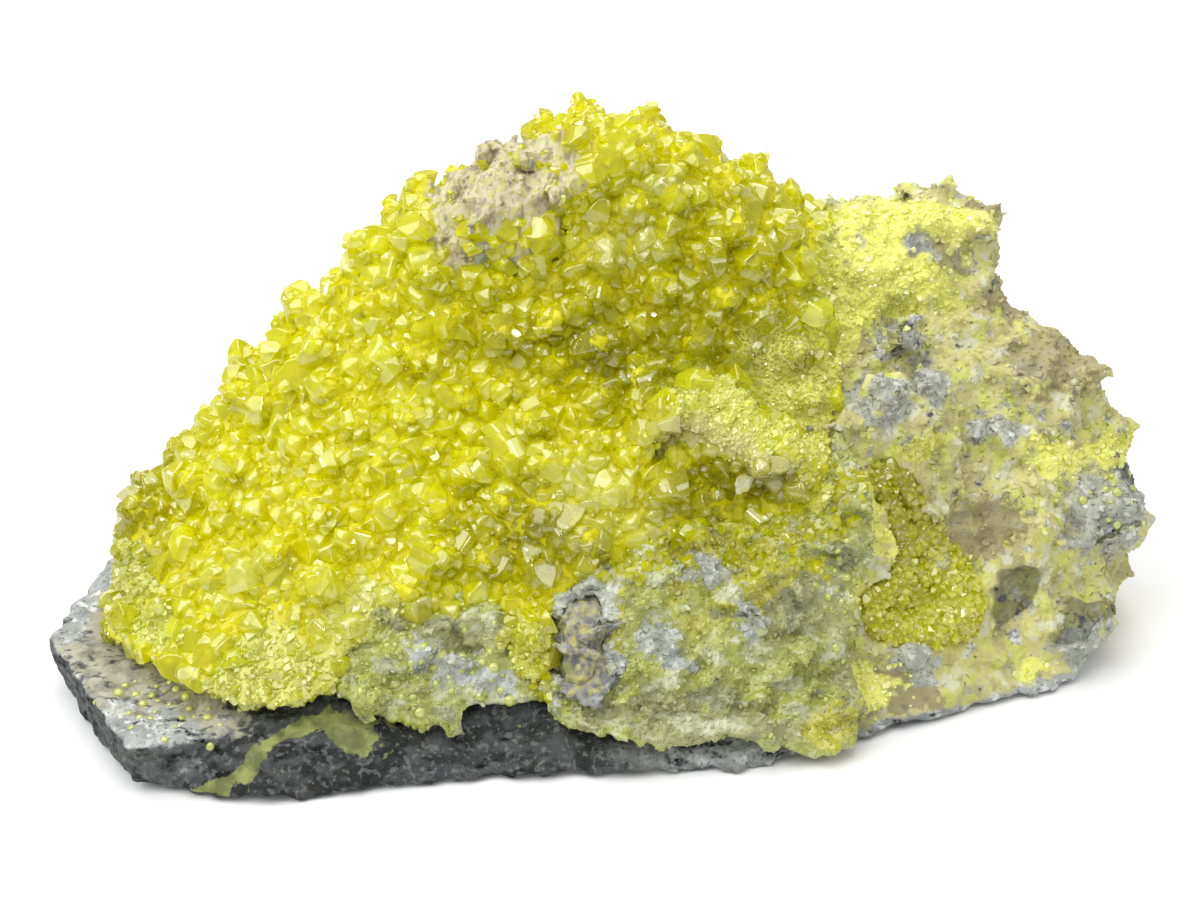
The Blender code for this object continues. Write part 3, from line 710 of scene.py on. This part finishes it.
LIP_STONES = (
    (-34, 4, 10), (-26, 5, 10), (-20, 2, 9), (-38, -1, 9), (-30, -2, 9), (-22, -4, 8), (-42, 4, 8),
    (-17, -2, 7),
)
lip_stones = stones_on(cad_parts["massive_sulfur"], LIP_STONES, 120, share=0.15)
sulfur = skin_of("massive_sulfur", "sulfur_crust", 0.8 * MM, lip_stones)
finish(sulfur, "DISPLACE", strength=0.7 * MM, mid_level=0)
store(sulfur, "lumpy", facing(points_of(sulfur, normals=True), 3, -1))
lumps = scattered("lumps", sulfur, chip_forms, "lumpy", spacing=3.6 * MM, sizes=(2.0 * MM, 7.0 * MM),
                  lean=0.9, sink=0.8 * MM, seed=17)
only(sulfur)
lumps.select_set(True)
bpy.ops.object.join()
finish(sulfur, "REMESH", mode="VOXEL", voxel_size=0.6 * MM)
finish(sulfur, "SMOOTH", factor=0.5, iterations=3)
DRIP_OVALS = ((-28, -14, 6, 4, 0),)
swell_where(sulfur, "drip", in_ovals(front_places(sulfur), DRIP_OVALS), -1.5 * MM)
finish(sulfur, "SMOOTH", factor=0.5, iterations=30, vertex_group="drip")
swell_where(sulfur, "facing", facing(points_of(sulfur, normals=True), 2), 0.2 * MM)
roughen(sulfur, "VORONOI_F2_F1", 9 * MM, 2.4 * MM, "facing")
roughen(sulfur, "VORONOI_F1", 4 * MM, 1.5 * MM, "facing")
roughen(sulfur, "ORIGINAL_PERLIN", 1.8 * MM, 0.7 * MM)
trim_foot(sulfur)

SCRAP_OVALS = (
    (-4, 8, 7, 8, 60), (-5, -2, 9, 6, 10), (-31, -1, 7, 4, 0), (-24, -4, 5, 3, 0), (20, 14, 4, 5, 60),
    (30, 6, 5, 3, 0), (14, 2, 4, 3, 0),
)
DUSTED_OVALS = (
    (-30, 5, 13, 3, 0), (-4, 16, 6, 4, 60), (22, -14, 16, 3.5, 5), (50, -4, 5, 10, 0), (14, -9, 8, 3, 0),
    (2, -12, 8, 3, 0), (40, 8, 9, 4, 30),
)
YELLOW_OVALS = (
    (20, 22, 30, 6, 8), (0, 2, 6, 10, 0), (30, 12, 14, 8, 0), (-13, 0, 4, 9, 0), (48, -14, 8, 5, 0),
)
LIP_BEAD_OVALS = ((-31, -2, 13, 7, 10), (47, 10, 4, 16, 0))
VERGE_OVALS = (
    (10, 20, 28, 6, 5), (-13, -1, 4, 9, 0), (-48, 9, 8, 4, 0), (44, 30, 6, 12, 0), (34, 24, 10, 6, 0),
)
sulfur_places = front_places(sulfur)
sulfur_front = facing(points_of(sulfur, normals=True), 3)
store(sulfur, "bare", in_ovals(sulfur_places, SCRAP_OVALS))
store(sulfur, "cream", in_ovals(sulfur_places, DUSTED_OVALS))
store(sulfur, "yellow", in_ovals(sulfur_places, YELLOW_OVALS))
store(sulfur, "beads", in_ovals(sulfur_places, LIP_BEAD_OVALS))
store(sulfur, "sugary", sulfur_front * ramp(points_of(sulfur)[:, 2] / MM, 2.5, 3.5))
store(sulfur, "verge", in_ovals(sulfur_places, VERGE_OVALS) * sulfur_front)
# Painted shade: the olive amount darkens the verge crystals that grow here.
store(sulfur, "olive", in_ovals(sulfur_places, VERGE_OVALS, edge=0.8))

APPLE_GREEN = screen_colour(158, 164, 74)
PALE_APPLE = screen_colour(168, 172, 98)
YELLOW_STAIN = screen_colour(180, 176, 40)
PALE_GRAIN = screen_colour(196, 204, 150)
KHAKI_DUST = screen_colour(154, 155, 103)
PALE_VEIN = screen_colour(192, 196, 164)
DARK_VEIN = screen_colour(130, 134, 106)
SILVER = screen_colour(186, 192, 194)

sulfur_finish, tree, shader = new_finish("waxy_sulfur")
broad = grain_of(tree, 8 * MM, 3)
crumbs = grain_of(tree, 1.8 * MM, 3)
veins = grain_of(tree, 5 * MM, 4, stretch=(0.5, 1, 1), turn=(0, math.radians(50), 0))
silver = mottled(tree, stone_colour(tree), SILVER, broad, 0.45, 0.6)
colour = mottled(tree, APPLE_GREEN, PALE_APPLE, broad, 0.4, 0.6)
colour = over(tree, colour, YELLOW_STAIN, painted(tree, "yellow", broad, 1.3), 0.75)
colour = mottled(tree, colour, PALE_GRAIN, crumbs, 0.58, 0.72)
colour = over(tree, colour, KHAKI_DUST, painted(tree, "cream", crumbs, 1.4))
colour = over(tree, colour, PALE_VEIN, between(tree, veins, 0.55, 0.63), 0.8)
colour = over(tree, colour, DARK_VEIN, between(tree, veins, 0.42, 0.36), 0.7)
colour = over(tree, colour, silver, painted(tree, "bare", crumbs, 2.2), 0.8)
tree.links.new(colour, shader.inputs["Base Color"])
shader.inputs["Roughness"].default_value = 0.35
shader.inputs["IOR"].default_value = 1.7
tree.links.new(relief(tree, crumbs, 0.5, 0.4 * MM), shader.inputs["Normal"])
sulfur.data.materials.append(sulfur_finish)
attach(sulfur, "root")
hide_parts("massive_sulfur")


# The bed of the druse: the roots of its crystals, grown together into a lumpy yellow crust. It thickens to a
# pale lip at its foot and rises to a ridge on the right.

bed = skin_of("crystal_druse", "druse_bed", 0.95 * MM)
finish(bed, "SMOOTH", factor=0.5, iterations=14)
roughen(bed, "VORONOI_F1", 4 * MM, 1.2 * MM)
roughen(bed, "ORIGINAL_PERLIN", 2 * MM, 0.7 * MM)

CREST_OVALS = ((15, 46.5, 7, 2.6, 15), (25, 45, 8, 2.8, -25), (34, 39.5, 7, 2.6, -38), (45, 27, 2.5, 6, 0))
swell_where(bed, "crest", in_ovals(front_places(bed), CREST_OVALS, edge=0.5), 5.5 * MM)
roughen(bed, "VORONOI_F1", 2.4 * MM, 2.4 * MM, "crest")
swell_where(bed, "stone", in_ovals(front_places(bed), SUMMIT_OVALS, edge=0.3), 0.6 * MM)
roughen(bed, "VORONOI_F2_F1", 3.4 * MM, 2.2 * MM, "stone")
trim_foot(bed)

FRINGE_OVALS = ((15, 43, 7, 2.8, 0), (24, 41.5, 8, 3, -20), (33, 37, 6, 2.8, -32))
FLUFF_OVALS = ((25, 47, 19, 6, -24), (36, 56, 10, 10, 0), (44, 45, 8, 10, 0), (44, 30, 4, 8, 0))
LIP_OVALS = (
    (-64, -3, 14, 9, 0), (-74, -8, 8, 6, 0), (-45, 5, 10, 6, 0), (-91, 3, 8, 4, 0), (-100, 14, 6, 8, 60),
    (-13, 0, 6, 8, 0), (47, 76, 6, 16, 0), (46, 52, 6, 10, 0),
)
# Painted shade for the crystals: olive over the upper mass, the alcove and the left edge, darker in the
# deepest recesses.
OLIVE_SHADE_OVALS = (
    (0, 72, 26, 20, -20), (22, 76, 24, 16, 0), (24, 30, 12, 6, 0), (-14, 22, 12, 8, 0), (35, 60, 10, 18, 0),
    (-97, 35, 7, 14, 0), (-100, 12, 6, 10, 0),
)
OLIVE_SHADE_FOOT = ((-13, -1, 6, 9, 0),)
# Painted shade, fainter, on the lip's foot and along the left edge.
DIM_SHADE_OVALS = ((-66, -4, 14, 9, 0), (-46, 4, 9, 6, 0), (-98, 18, 7, 14, 0))
SHADE_OVALS = ((24, 31, 13, 5, 0), (-14, 22, 10, 6, 0), (30, 60, 14, 5, -10), (0, 57, 14, 4, -10))
FROST_OVALS = (
    (-2, 31, 12, 5, -20), (-45, 8, 12, 4, 0), (9, 25, 12, 4, 0), (-72, 14, 9, 4, 0), (4, 82, 6, 4, 0),
    (-20, 84, 3, 3, 0), (12, 92, 4, 3, 0),
)
LARGEST_OVALS = (
    (2, 98, 16, 8, 0), (14, 88, 10, 8, 0), (-94, 40, 8, 10, 0), (-86, 55, 10, 8, 30), (-38, 78, 8, 10, 0),
)
bed_places = front_places(bed)
bed_normals = points_of(bed, normals=True)
fluff = in_ovals(bed_places, FLUFF_OVALS)
lip = in_ovals(bed_places, LIP_OVALS)
fringe = in_ovals(bed_places, FRINGE_OVALS)
stony = np.clip(in_ovals(bed_places, SUMMIT_OVALS, edge=0.3) * 2, 0, 1)
outward = facing(bed_normals, 3, 1.1, toward=(-0.1, -0.8, 0.6))
outward = np.maximum(outward, facing(bed_normals, 4, 1.2, toward=UP))
olive_shade_part = in_ovals(bed_places, OLIVE_SHADE_OVALS, edge=0.8) * (1 - np.maximum(fluff, lip))
store(bed, "olive", np.maximum(olive_shade_part, in_ovals(bed_places, OLIVE_SHADE_FOOT)))
crystal_shade_part = in_ovals(bed_places, SHADE_OVALS, edge=0.8)
store(bed, "painted_shade", np.maximum(crystal_shade_part, in_ovals(bed_places, DIM_SHADE_OVALS, edge=0.8) * 0.65))
store(bed, "frost", in_ovals(bed_places, FROST_OVALS, edge=0.8))
store(bed, "stony", stony)
store(bed, "fluff", fluff)
store(bed, "lip", lip)
store(bed, "coarse", (1 - np.maximum(fluff, lip)) * (1 - stony) * outward)
store(bed, "middling", (1 - np.maximum(fluff, lip * 0.7)) * (1 - stony * 0.8) * outward)
store(bed, "fine", np.maximum(fluff * 0.3, lip) * outward)
store(bed, "fuzz", fluff * outward)
store(bed, "fringe", fringe * outward)
store(bed, "largest", in_ovals(bed_places, LARGEST_OVALS) * (1 - stony) * outward)

BED_YELLOW = screen_colour(198, 188, 0)
BRIGHT_BED = screen_colour(212, 205, 20)
PALE_LIP = screen_colour(200, 201, 104)
FLUFF_YELLOW = screen_colour(204, 203, 96)
FRINGE_CREAM = screen_colour(206, 202, 134)

bed_finish, tree, shader = new_finish("druse_bed")
broad = grain_of(tree, 8 * MM, 2)
crumbs = grain_of(tree, 1.3 * MM, 3)
colour = mottled(tree, BED_YELLOW, BRIGHT_BED, broad, 0.4, 0.6)
colour = over(tree, colour, PALE_LIP, painted(tree, "lip", crumbs, 0.8))
colour = over(tree, colour, FLUFF_YELLOW, painted(tree, "fluff", crumbs, 0.8))
colour = over(tree, colour, FRINGE_CREAM, painted(tree, "fringe", crumbs, 0.8))
colour = over(tree, colour, fibrous_beige(tree), painted(tree, "stony", crumbs, 0.8))
tree.links.new(colour, shader.inputs["Base Color"])
shader.inputs["Roughness"].default_value = 0.35
tree.links.new(relief(tree, crumbs, 0.6, 0.5 * MM), shader.inputs["Normal"])
bed.data.materials.append(bed_finish)
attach(bed, "root")
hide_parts("crystal_druse")


# The crystals: blunt sulfur pyramids, translucent lemon yellow, with melted-looking edges. Each grew from
# the bed in its own direction, and the small ones fill the gaps between the large.

AXES = Vector((0.813, 1.0, 1.903))  # the lengths of sulfur's three crystal axes beside one another
PRISM_FAR = 0.62
BASE_FAR = 0.5
SLIVER = 0.04  # corners nearer to each other than this are melted into one
SULFUR_IOR = 1.9


def crystal_form(name, seed, steep, blunt, top, softness):
    """A block cut down to the faces that sulfur grows, at those distances more or less, with worn edges."""
    chance = random.Random(seed)
    bpy.ops.object.select_all(action="DESELECT")
    bpy.ops.mesh.primitive_cube_add(size=4)
    form = bpy.context.active_object
    form.name = name
    bpy.ops.object.mode_set(mode="EDIT")
    corners = [(x, y) for x in (-1, 1) for y in (-1, 1)]
    faces = [((x, y, 0), PRISM_FAR) for x, y in corners]
    faces += [((x, y, 1), steep) for x, y in corners]
    faces += [((x, y, 3), blunt) for x, y in corners]
    faces += [((0, 0, 1), top), ((0, 0, -1), BASE_FAR)]
    for index, far in faces:
        normal = Vector([i / axis for i, axis in zip(index, AXES)]).normalized()
        bpy.ops.mesh.select_all(action="SELECT")
        bpy.ops.mesh.bisect(plane_co=normal * far * chance.uniform(0.8, 1.15), plane_no=normal,
                            use_fill=True, clear_outer=True)
    bpy.ops.mesh.select_all(action="SELECT")
    bpy.ops.mesh.remove_doubles(threshold=SLIVER)
    bpy.ops.object.mode_set(mode="OBJECT")
    form.dimensions = form.dimensions / max(form.dimensions.x, form.dimensions.y)
    bpy.ops.object.transform_apply(location=False, rotation=False, scale=True)
    facet = form.data.attributes.new("facet", "FLOAT", "FACE")
    facet.data.foreach_set("value", [chance.random() for face in form.data.polygons])
    if softness:
        finish(form, "BEVEL", width=softness, segments=1)
    heights = points_of(form)[:, 2]
    store(form, "height", (heights - heights.min()) / np.ptp(heights))
    bpy.ops.object.shade_smooth_by_angle(angle=math.radians(28))
    return form


large_forms = gather("large_forms", [
    crystal_form("blunt_pyramid", 1, 0.55, 0.62, 0.75, 0.1),
    crystal_form("stub", 2, 0.7, 0.55, 0.55, 0.12),
    crystal_form("wedge", 3, 0.56, 0.7, 0.8, 0.1),
    crystal_form("block", 4, 0.8, 0.6, 0.6, 0.13),
    crystal_form("tall_block", 5, 0.66, 0.72, 0.95, 0.12),
    crystal_form("slant", 9, 0.62, 0.66, 0.7, 0.12),
])
small_forms = gather("small_forms", [
    crystal_form("small_pyramid", 6, 0.6, 0.7, 0.8, 0),
    crystal_form("small_stub", 7, 0.7, 0.6, 0.6, 0),
    crystal_form("small_wedge", 8, 0.55, 0.8, 0.9, 0),
])

LET_THROUGH = 0.84  # the share of the lamps' light that passes straight through a crystal
# Painted shade for crystals in recesses: an olive and a darker shade.
PAINTED_OLIVE_SHADE = screen_colour(186, 182, 0)
PAINTED_DARK_SHADE = screen_colour(112, 106, 0)
SHAGGY_CREAM = screen_colour(224, 220, 156)
FROST = screen_colour(236, 238, 168)


def clear_sulfur(name, root, body, tip, lamp_dye, see_through, roughness):
    """Translucent sulfur, darker at a crystal's root as painted shade and pale at its tip, no two facets quite
    alike.
    """
    material, tree, shader = new_finish(name)
    cloud = grain_of(tree, 2.5 * MM, 2)
    veil = grain_of(tree, 1.3 * MM, 3)
    mixed = reckon(tree, "MULTIPLY", stored(tree, "tone"), 0.35)
    mixed = reckon(tree, "ADD", mixed, reckon(tree, "MULTIPLY", stored(tree, "facet"), 0.4))
    mixed = reckon(tree, "ADD", mixed, reckon(tree, "MULTIPLY", cloud, 0.25))
    # Painted shade: each crystal runs from its root colour low down, among its neighbours, to its body colour
    # above.
    colour = mottled(tree, root, body, stored(tree, "height"), 0.2, 0.8)
    colour = mottled(tree, colour, root, veil, 0.5, 0.38)
    colour = mottled(tree, colour, tip, mixed, 0.45, 0.85)
    colour = over(tree, colour, tip, between(tree, veil, 0.52, 0.66), 0.6)
    # Painted shade in the recesses, then the cream fringe and the white frost.
    colour = over(tree, colour, PAINTED_OLIVE_SHADE, stored(tree, "olive"), 0.6)
    colour = over(tree, colour, PAINTED_DARK_SHADE, stored(tree, "painted_shade"), 0.5)
    colour = over(tree, colour, SHAGGY_CREAM, stored(tree, "fringe"), 0.8)
    colour = over(tree, colour, FROST, reckon(tree, "MULTIPLY", stored(tree, "frost"), veil))
    tree.links.new(colour, shader.inputs["Base Color"])
    shader.inputs["Roughness"].default_value = roughness
    shader.inputs["IOR"].default_value = SULFUR_IOR
    shader.inputs["Transmission Weight"].default_value = see_through
    lamp_light = add(tree, "LightPath").outputs["Is Shadow Ray"]
    dyed = add(tree, "BsdfTransparent", {"Color": lamp_dye}).outputs[0]
    let_through = reckon(tree, "MULTIPLY", lamp_light, LET_THROUGH)
    both = add(tree, "MixShader", {0: let_through, 1: shader.outputs[0], 2: dyed}).outputs[0]
    tree.links.new(both, tree.nodes["Material Output"].inputs["Surface"])
    return material


lemon = clear_sulfur("lemon_crystal", root=screen_colour(228, 224, 0), body=screen_colour(242, 240, 0),
                     tip=screen_colour(246, 248, 60), lamp_dye=screen_colour(250, 249, 40),
                     see_through=0.65, roughness=0.1)
pale_lime = clear_sulfur("pale_lime_druse", root=screen_colour(196, 197, 66),
                         body=screen_colour(208, 210, 92), tip=screen_colour(230, 232, 146),
                         lamp_dye=screen_colour(240, 242, 130), see_through=0.15, roughness=0.2)
large = scattered("large_crystals", bed, large_forms, "coarse", spacing=2.9 * MM, sizes=(3.8 * MM, 8.8 * MM),
                  lean=0.8, sink=0.9 * MM, seed=21)
small = scattered("small_crystals", bed, small_forms, "middling", spacing=1.9 * MM,
                  sizes=(1.6 * MM, 3.6 * MM), lean=0.9, sink=0, seed=31)
fine = scattered("lip_druse", bed, small_forms, "fine", spacing=1.0 * MM, sizes=(1.0 * MM, 3.0 * MM),
                 lean=0.9, sink=0.2 * MM, seed=41)
fuzz = scattered("ridge_druse", bed, small_forms, "fuzz", spacing=0.75 * MM, sizes=(0.8 * MM, 1.5 * MM),
                 lean=0.9, sink=0.2 * MM, seed=51)
shaggy = scattered("shaggy_fringe", bed, small_forms, "fringe", spacing=0.75 * MM, sizes=(0.7 * MM, 2.0 * MM),
                   lean=0.9, sink=0, seed=55)
largest = scattered("largest_crystals", bed, large_forms, "largest", spacing=4.6 * MM,
                    sizes=(6.0 * MM, 9.5 * MM), lean=0.7, sink=1.0 * MM, seed=25)
regrown = scattered("summit_crystals", rock, large_forms, "overgrown", spacing=2.8 * MM,
                    sizes=(3.5 * MM, 8.0 * MM), lean=0.7, sink=0, seed=23)
for piece in (largest, large, small, regrown):
    piece.data.materials.append(lemon)
for piece in (fine, fuzz, shaggy):
    piece.data.materials.append(pale_lime)
for piece in (largest, large, small, regrown, fine, fuzz, shaggy):
    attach(piece, "root")
    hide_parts("crystal_druse")


# The sugar on the massive sulfur: its own grains, standing out as small crystal faces, and larger crystals
# where the druse thins out over its upper edge.

grains = scattered("sulfur_grains", sulfur, small_forms, "sugary", spacing=1.25 * MM,
                   sizes=(0.7 * MM, 1.9 * MM), lean=0.9, sink=0.1 * MM, seed=91)
grains.data.materials.append(sulfur_finish)
verge = scattered("verge_crystals", sulfur, small_forms, "verge", spacing=1.9 * MM,
                  sizes=(1.5 * MM, 4.5 * MM), lean=0.8, sink=0.3 * MM, seed=95)
verge.data.materials.append(lemon)
for piece in (grains, verge):
    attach(piece, "root")
    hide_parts("massive_sulfur")


# The lime druse: a coat of sugar-fine sulfur on the rock of the right shoulder and in its pockets, with beads
# of the same sulfur grown one by one on the slab, on the second lip and beside the massive sulfur.

lime = clear_sulfur("bright_lime_druse", root=screen_colour(214, 218, 84), body=screen_colour(230, 234, 128),
                    tip=screen_colour(252, 252, 196), lamp_dye=screen_colour(244, 246, 170),
                    see_through=0.2, roughness=0.25)
bead_lime = clear_sulfur("lime_bead", root=screen_colour(184, 190, 84), body=screen_colour(204, 210, 112),
                         tip=screen_colour(224, 230, 156), lamp_dye=screen_colour(240, 244, 150),
                         see_through=0.2, roughness=0.2)
coat = scattered("lime_druse", rock, small_forms, "lime", spacing=1.0 * MM, sizes=(0.8 * MM, 2.0 * MM),
                 lean=0.9, sink=0.2 * MM, seed=61)

BEAD_HEIGHT = 0.65
bpy.ops.object.select_all(action="DESELECT")
bpy.ops.mesh.primitive_ico_sphere_add(subdivisions=2, radius=0.5)
bpy.ops.object.shade_smooth()
bead_form = bpy.context.active_object
bead_form.name = "bead"
bead_form.scale.z = BEAD_HEIGHT
bpy.ops.object.transform_apply(location=False, rotation=False, scale=True)
store(bead_form, "height", np.ones(len(bead_form.data.vertices)) * 0.6)
store(bead_form, "facet", np.ones(len(bead_form.data.vertices)) * 0.5)
bead_forms = gather("bead_forms", [bead_form])
beads = scattered("lime_beads", rock, bead_forms, "beads", spacing=2.4 * MM, sizes=(0.9 * MM, 2.4 * MM),
                  lean=0.3, sink=0.4 * MM, seed=71)
lip_beads = scattered("lip_beads", sulfur, bead_forms, "beads", spacing=2.2 * MM, sizes=(1.0 * MM, 2.5 * MM),
                      lean=0.3, sink=0.4 * MM, seed=73)
coat.data.materials.append(lime)
beads.data.materials.append(bead_lime)
lip_beads.data.materials.append(bead_lime)
for piece, replaced in ((coat, "host_rock"), (beads, "host_rock"), (lip_beads, "massive_sulfur")):
    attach(piece, "root")
    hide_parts(replaced)


# The vug: a hollow in the right half of the rock, lined with golden-olive crystals that grew inward from its
# walls until they almost met.

vug_bed = skin_of("vug_crystals", "vug_bed", 0.6 * MM)
finish(vug_bed, "SMOOTH", factor=0.5, iterations=6)
depths = points_of(vug_bed) @ -np.array(TOWARD_VIEWER) / MM
finish(vug_bed, "DISPLACE", strength=1.2 * MM, mid_level=0)
swell_where(vug_bed, "inmost", ramp(depths - depths.min(), 4, 16), 7 * MM)
roughen(vug_bed, "VORONOI_F1", 3 * MM, 1.4 * MM)
store(vug_bed, "all", np.ones(len(vug_bed.data.vertices)))
# Painted shade on the vug's upper walls, under its overhang.
store(vug_bed, "painted_shade", np.minimum(ramp(front_places(vug_bed)[:, 1], 16, 30), 0.6))
olive = clear_sulfur("golden_olive_crystal", root=screen_colour(192, 190, 14),
                     body=screen_colour(214, 214, 52), tip=screen_colour(234, 236, 120),
                     lamp_dye=screen_colour(244, 242, 80), see_through=0.35, roughness=0.15)
vug_growth = scattered("vug_growth", vug_bed, small_forms, "all", spacing=1.2 * MM,
                       sizes=(0.9 * MM, 3.4 * MM), lean=0.8, sink=0.2 * MM, seed=81)
vug_bed.data.materials.append(olive)
vug_growth.data.materials.append(olive)
for piece in (vug_bed, vug_growth):
    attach(piece, "root")
    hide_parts("vug_crystals")
